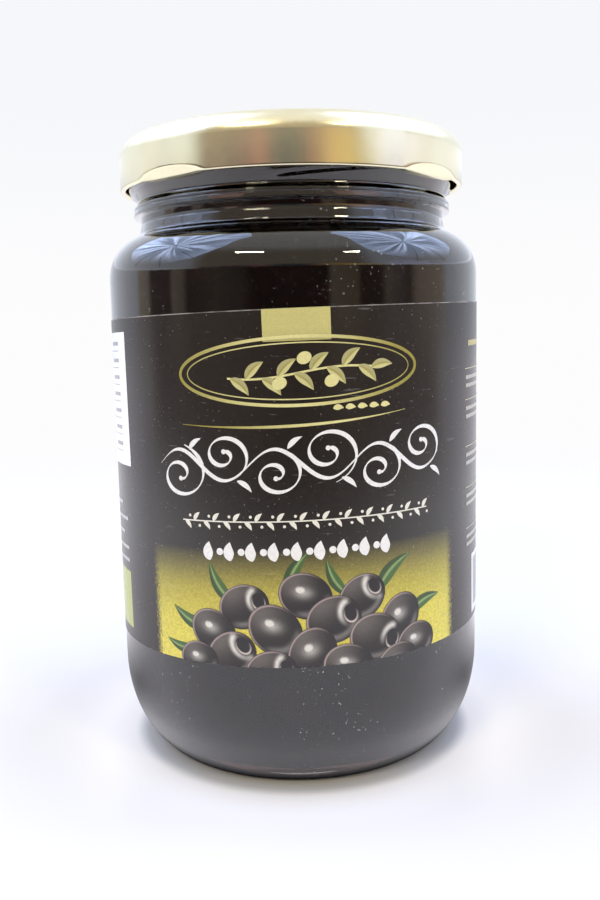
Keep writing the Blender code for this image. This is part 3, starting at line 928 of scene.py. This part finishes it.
PAINTED_OLIVES = (  # middle u and v, half length, lie in degrees, hole or not
    (-9.5, 10.6, 4.6, 20, True), (1.2, 12.4, 4.7, -25, False), (11.0, 11.4, 4.5, 35, True),
    (-15.4, 6.0, 4.5, -30, False), (18.3, 6.6, 4.6, 60, False), (5.9, 8.0, 4.9, 15, True),
    (-4.2, 6.6, 5.0, -40, False), (13.4, 4.0, 5.0, -15, True), (-12.2, 1.8, 4.9, 40, True),
    (21.6, 1.6, 4.2, 10, False), (2.0, 2.2, 4.9, 65, False), (-18.6, 0.6, 3.9, 0, False),
    (8.2, -0.4, 4.6, -20, False), (-5.2, -0.9, 4.6, 15, True), (17.4, -1.6, 4.4, 30, False))


def print_picture(ink):
    """A pile of painted olives on a few leaves, cut off by the label's lower edge."""
    for u, v, lie, length in PAINTED_LEAVES:
        ink.leaf((u, v), radians(lie), length, 0.27 * length, LEAF_GREEN, LEAF_RIB, 0.45)
        ink.layer = 1 - ink.layer
    for number, (u, v, size, lie, pitted) in enumerate(PAINTED_OLIVES):
        turn = radians(lie)
        ink.layer = 3 + number
        skin = lambda unit: printed_skin(unit, turn, pitted)
        ink.disc((u, v), (size, FATNESS * size), turn, skin, rings=18, sides=56)
        if pitted:
            ink.layer += 0.5
            reach = HOLE_PLACE * size
            hole = (u + reach * math.cos(turn), v + reach * math.sin(turn))
            radii = (HOLE_RADII[0] * size, FATNESS * HOLE_RADII[1] * size)
            ink.disc(hole, radii, turn, lambda unit: printed_hole(unit, turn), rings=8)
    ink.layer = 0


PANEL_WHITE = (0.9, 0.9, 0.9)
RULE_GRAY = (0.42, 0.42, 0.4)
RULE_BROWN = (0.42, 0.38, 0.24)
LINE_BROWN = (0.38, 0.36, 0.3)
BAR_GOLD = (0.48, 0.4, 0.12)
BARS_WHITE = (0.82, 0.82, 0.82)
BAR_BLACK = (0.02, 0.02, 0.02)


def print_sides(ink, rng):
    """The plain panels, rules and gray lines of the sides."""
    ink.box(-64.0, 33.4, -35.6, 57.9, PANEL_WHITE)
    ink.layer = 1
    for v in np.linspace(36.0, 54.5, 7):
        ink.box(-63.0, v - 0.07, -39.5, v + 0.07, GRAY)
        ink.box(-62.5, v + 1.0, -62.5 + rng.uniform(8.0, 14.0), v + 1.7, GRAY)
        ink.box(-44.5, v + 1.0, -39.5, v + 1.7, GRAY)
    ink.layer = 0
    for v in (26.0, 23.2, 20.4, 17.6, 15.2):
        ink.box(-63.0, v - 0.35, -38.5 - rng.uniform(0.0, 7.0), v + 0.35, RULE_GRAY)
    for v in (48.3, 42.6, 33.9, 26.2, 18.4):
        ink.box(38.3, v - 0.1, 66.0, v + 0.1, RULE_BROWN)
        for row in (v - 1.6, v - 3.1):
            ink.box(38.6, row - 0.35, 66.0 - rng.uniform(0.0, 12.0), row + 0.35, LINE_BROWN)
    ink.box(40.0, 52.4, 62.0, 53.4, BAR_GOLD)
    ink.box(42.0, 1.0, 66.0, 12.7, BARS_WHITE)
    ink.layer = 1
    u = 43.6
    while u < 64.0:
        width = rng.choice((0.25, 0.25, 0.5, 0.75))
        ink.box(u, 2.2, u + width, 11.6, BAR_BLACK)
        u += width + rng.choice((0.3, 0.45, 0.7))


def print_ink():
    """Everything printed in plain inks."""
    ink = Print()
    print_flourish(ink)
    print_rows(ink)
    print_picture(ink)
    print_sides(ink, random.Random(SEED))
    finish = ink_finish("printing_ink", 2200.0, 3.0, (0.93, 1.04), (0.22, 0.27))
    return ink.build("print_ink", finish)


# Floor, light and camera

CAMERA_DISTANCE = 185.83 * MM
CAMERA_HEIGHT = 81.32 * MM
CAMERA_PITCH = 0.1331
CAMERA_YAW = 0.0034
CAMERA_ROLL = -0.0212
CAMERA_LENS = 36.78
PALE = (0.92, 0.93, 0.955)  # the backdrop, and its lower part with the far floor
PALER = (0.985, 0.98, 0.99)

FLOOR_RINGS = (0.0, 0.1, 0.3, 0.8, 2.5)
FLOOR_DROP = 0.01 * MM  # how far it lies under the jar
# painted shadow under the jar, painted shade at its edge, painted light round it
FLOOR_PAINTED_SHADOW = (0.05, 0.05, 0.05)  # its colour under the jar, at its edge and round it
FLOOR_SHADED = (0.54, 0.525, 0.515)
FLOOR_AND_PAINTED_LIGHT = ((0.8, 0.765, 0.74), (0.99, 0.94, 0.885))
SHINE_NEAR = ((1.07, 1.05, 1.13), (1.27, 1.28, 1.36))  # painted glow gloss sees, ahead and aside
# darker painted glow far in front, ahead and aside
SHINE_FAR = ((0.05, 0.03, 0.025), (0.2, 0.15, 0.14))

LIGHT_CENTRE = Vector((0.0, 0.0, 0.09))  # the lights stand round this place
UMBRELLA_DISTANCE = 0.6
UMBRELLA_RADIUS = 0.4
UMBRELLA_SIDES = 8
CLOTH_COLOURS = ((0.3, 0.3, 0.315), (0.64, 0.78, 1.12))
LAMP_DISTANCE = 0.8
LAMP_THICKNESS = 0.03
LAMP_COLOUR = (1.0, 0.88, 0.6)

WALL_LIGHT = (0.76, 0.79, 0.87)
ROOM_LOW = (  # azimuth and colour, level with the jar
    (-122, WALL_LIGHT), (-109, WALL_LIGHT), (-106, (0.6, 0.52, 0.42)),
    (-98, (0.54, 0.47, 0.4)), (-94, (0.17, 0.13, 0.12)), (-79, (0.16, 0.12, 0.11)),
    (-76, (0.5, 0.42, 0.36)), (-69, (0.42, 0.35, 0.28)), (-65, (0.14, 0.1, 0.09)),
    (-46, (0.2, 0.16, 0.13)), (-32, (0.15, 0.12, 0.1)), (-24, (0.07, 0.045, 0.04)),
    (20, (0.08, 0.05, 0.045)), (23, (0.4, 0.33, 0.25)), (38, (0.34, 0.27, 0.19)),
    (41, (0.11, 0.075, 0.065)), (53, (0.13, 0.09, 0.075)), (57, (0.36, 0.29, 0.24)),
    (66, (0.27, 0.22, 0.2)), (73, (0.2, 0.15, 0.13)), (79, (0.58, 0.46, 0.37)),
    (100, (0.62, 0.52, 0.43)), (106, WALL_LIGHT), (122, WALL_LIGHT))
ROOM_HIGH = (  # the same, a little higher
    (-120, (1.05, 1.08, 1.2)), (-84, (1.25, 1.3, 1.38)), (-64, (1.12, 1.22, 1.1)),
    (-56, (0.21, 0.16, 0.22)), (-42, (0.2, 0.155, 0.2)), (-30, (0.3, 0.19, 0.22)),
    (-19, (0.64, 0.31, 0.29)), (-9, (0.15, 0.18, 0.21)), (5, (0.13, 0.155, 0.18)),
    (13, (0.48, 0.29, 0.24)), (26, (1.0, 0.65, 0.25)), (40, (1.2, 0.88, 0.28)),
    (51, (1.34, 1.12, 0.6)), (64, (1.36, 1.42, 1.8)), (120, (1.2, 1.23, 1.38)))
WALL_COLOURS = ((0.48, 0.41, 0.32), (0.95, 1.0, 1.12))  # over the room: ahead and aside
PANE_COLOUR = (1.18, 1.22, 1.62)
CEILING_COLOUR = (0.9, 0.88, 0.86)


def toward(azimuth, elevation):
    """The direction at an azimuth from the camera's side, positive right, and an elevation."""
    a, e = radians(azimuth), radians(elevation)
    return Vector((math.sin(a) * math.cos(e), -math.cos(a) * math.cos(e), math.sin(e)))


def floor_colour(place, reach):
    """The floor alone: painted shadow under the jar and at its foot, painted light round it."""
    across = maths("ABSOLUTE", split(place)[0])
    # painted light: the floor is brighter in a narrow ring round the jar, most at its sides
    edge = maths("ADD", ramp(reach, 0.036, 0.05, 0.5, 0.0), ramp(across, 0.026, 0.038, 0.0, 0.6))
    pale = mix(times(edge, ramp(reach, 0.056, 0.04)), *FLOOR_AND_PAINTED_LIGHT)
    # painted shadow under the jar, painted shade at its foot
    painted_shadow = mix(ramp(reach, 0.027, 0.0284), FLOOR_PAINTED_SHADOW, FLOOR_SHADED)
    return mix(ramp(reach, 0.0317, 0.035), painted_shadow, pale)


def floor_shine(place, reach):
    """The painted glow seen by gloss, with painted shade near the jar: its colour and strength."""
    beside, behind, _ = split(place)
    beside = ramp(maths("ABSOLUTE", beside), 0.1, 0.22)
    wide = reach_of(place, (0.45, 1.0, 1.0))
    dim = times(ramp(wide, 0.12, 0.3), ramp(behind, 0.15, -0.02))
    bright = times(beside, ramp(reach, 0.45, 0.3))
    shine = mix(dim, mix(bright, *SHINE_NEAR), mix(beside, *SHINE_FAR))
    # painted shade in the glow beside and behind the jar and round its foot
    shade = times(ramp(behind, -0.03, 0.01), ramp(reach, 0.1, 0.05))
    painted_foot_shade = times(ramp(reach, 0.0285, 0.033), ramp(reach, 0.029, 0.038, 0.45, 1.0))
    return shine, times(painted_foot_shade, maths("MULTIPLY_ADD", shade, -0.75, 1.0))


def add_floor():
    """A pale floor that fades into the backdrop, with painted shadow, light and glow."""
    points, faces = lathe([(radius, 0.0) for radius in FLOOR_RINGS], 96)
    finish = bpy.data.materials.new("pale_floor")
    bare_tree(finish)
    place = place_in()
    reach = reach_of(place)
    lit = add_node("BsdfDiffuse", {"Color": floor_colour(place, reach)}).outputs[0]
    seen = mix_shaders(ramp(reach, 0.12, 0.5), lit, glow((*PALER, 1.0), 1.0))
    path = add_node("LightPath").outputs
    # glossy rays that are not transmitted see a painted glow in place of the floor
    mirrored = times(path["Is Glossy Ray"], maths("SUBTRACT", 1.0, path["Is Transmission Ray"]))
    painted_glow = glow(*floor_shine(place, reach))
    add_node("OutputMaterial", {0: mix_shaders(mirrored, seen, painted_glow)})
    made = add_piece("floor", points - (0.0, 0.0, FLOOR_DROP), faces, [finish])


def add_umbrella(name, azimuth, elevation, strength, taper):
    """A soft eight-sided light with pleated cloth, seen only in reflections."""
    way = toward(azimuth, elevation)
    side = way.cross(Vector((0, 0, 1))).normalized()
    up = side.cross(way)
    centre = way * UMBRELLA_DISTANCE + LIGHT_CENTRE
    gore_turn = tau / UMBRELLA_SIDES
    rings, columns = 6, 64
    points, flat = [], []
    for ring in range(rings + 1):
        for i in range(columns + 1):
            turn = tau * i / columns
            chord = math.cos(gore_turn / 2) / math.cos(math.remainder(turn, gore_turn))
            reach = UMBRELLA_RADIUS * chord * ring / rings
            across, upward = reach * math.cos(turn), reach * math.sin(turn)
            if across * azimuth > 0.0 and upward > 0.0:
                across *= 1.0 - taper * upward / UMBRELLA_RADIUS
            points.append(centre + side * across + up * upward)
            flat.append((i / columns, ring / rings))
    finish = bpy.data.materials.new(name)
    bare_tree(finish)
    turn, reach, _ = split(place_in("UV"))
    gore = maths("FRACT", maths("MULTIPLY_ADD", turn, UMBRELLA_SIDES, 0.5))
    off = maths("ABSOLUTE", maths("SUBTRACT", gore, 0.5))
    crease = ramp(off, 0.46, 0.49, 1.0, 0.55)
    pleat = ramp(noise(1.0, 2.0, (26.0, 0.7, 1.0), "UV"), 0.42, 0.62, 0.6, 1.9)
    pleat = mix(ramp(reach, 0.5, 1.1), pleat, (1.0, 1.0, 1.0))
    lit = ramp(split(place_in())[2], centre.z - 0.65 * UMBRELLA_RADIUS,
               centre.z - 0.1 * UMBRELLA_RADIUS)
    cloth = mix(lit, *CLOTH_COLOURS)
    pleated = add_node("VectorMath", {0: cloth, 1: pleat}, operation="MULTIPLY").outputs[0]
    hub = ramp(reach, 0.0, 0.035, 0.05, 1.0)
    power = times(times(crease, hub), strength)
    add_node("OutputMaterial", {0: glow(mix(lit, cloth, pleated), power)})
    made = add_piece(name, points, grid_faces(rings + 1, columns + 1, False), [finish])
    lay_flat(made, "cloth", flat)
    made.visible_camera = False
    made.visible_shadow = False


def add_ceiling_lamp(name, azimuth, elevation, width, power):
    """A long narrow warm lamp, seen as a short bright dash in the glass."""
    way = toward(azimuth, elevation)
    lamp = bpy.data.lights.new(name, "AREA")
    lamp.shape = "RECTANGLE"
    lamp.size = width
    lamp.size_y = LAMP_THICKNESS
    lamp.energy = power
    lamp.color = LAMP_COLOUR
    made = bpy.data.objects.new(name, lamp)
    made.location = way * LAMP_DISTANCE + LIGHT_CENTRE
    made.rotation_euler = way.to_track_quat("Z", "Y").to_euler()
    made.visible_camera = False
    bpy.context.scene.collection.objects.link(made)


def add_world():
    """A plain pale backdrop, and the soft studio room that lights the jar and its gloss."""
    world = bpy.data.worlds.new("studio")
    bpy.context.scene.world = world
    bare_tree(world)
    x, y, z = split(place_in("Generated"))
    azimuth = maths("DEGREES", maths("ARCTAN2", x, times(y, -1.0)))
    elevation = maths("DEGREES", maths("ARCSINE", z))
    share = maths("MULTIPLY_ADD", azimuth, 1.0 / 360.0, 0.5)
    low, high = (colour_band(share, [(place / 360.0 + 0.5, colour) for place, colour in band])
                 for band in (ROOM_LOW, ROOM_HIGH))
    room = mix(ramp(elevation, 8.0, 9.5), low, high)
    aside = ramp(maths("ABSOLUTE", maths("ADD", azimuth, 8.0)), 46.0, 62.0)
    pane = times(window(azimuth, 57.0, 90.0, 6.0), ramp(elevation, 16.0, 13.0))
    wall = mix(pane, mix(aside, *WALL_COLOURS), PANE_COLOUR)
    ceiling = mix(ramp(elevation, 34.0, 54.0), wall, CEILING_COLOUR)
    bend = times(maths("POWER", maths("DIVIDE", azimuth, 45.0), 4.0), 1.5)
    bend = maths("MINIMUM", bend, 1.6)
    lit = mix(ramp(maths("ADD", elevation, bend), 11.3, 12.3), room, ceiling)
    plain = mix(ramp(elevation, 0.0, 15.0), PALER, PALE)
    lit, plain = (add_node("Background", {0: colour, 1: 1.0}).outputs[0] for colour in (lit, plain))
    seen = add_node("LightPath").outputs["Is Camera Ray"]
    add_node("OutputWorld", {0: mix_shaders(seen, lit, plain)})


def add_camera():
    """The camera, close to the jar and a little above its middle, looking slightly down."""
    lens = bpy.data.cameras.new("camera")
    lens.lens = CAMERA_LENS
    lens.sensor_width = 36.0
    lens.clip_start = 0.01
    made = bpy.data.objects.new("camera", lens)
    made.location = (0.0, -CAMERA_DISTANCE, CAMERA_HEIGHT)
    made.rotation_mode = "QUATERNION"
    aim = Euler((pi / 2 - CAMERA_PITCH, 0.0, -CAMERA_YAW)).to_quaternion()
    made.rotation_quaternion = aim @ Euler((0.0, 0.0, CAMERA_ROLL)).to_quaternion()
    bpy.context.scene.collection.objects.link(made)
    bpy.context.scene.camera = made


def main():
    pieces = [make_glass(), make_brine(), make_olives(), make_lid(), make_label(), print_gold(),
              print_ink()]
    for piece in pieces:
        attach(piece, "root")
    add_floor()
    add_umbrella("left_umbrella", -98.0, 44.5, 3.15, 0.35)
    add_umbrella("right_umbrella", 91.0, 45.0, 2.9, 0.75)
    add_ceiling_lamp("left_lamp", -28.0, 36.0, 0.22, 1.6)
    add_ceiling_lamp("right_lamp", 38.0, 32.0, 0.12, 0.9)
    add_world()
    add_camera()
    bpy.context.scene.view_settings.view_transform = "Standard"


main()
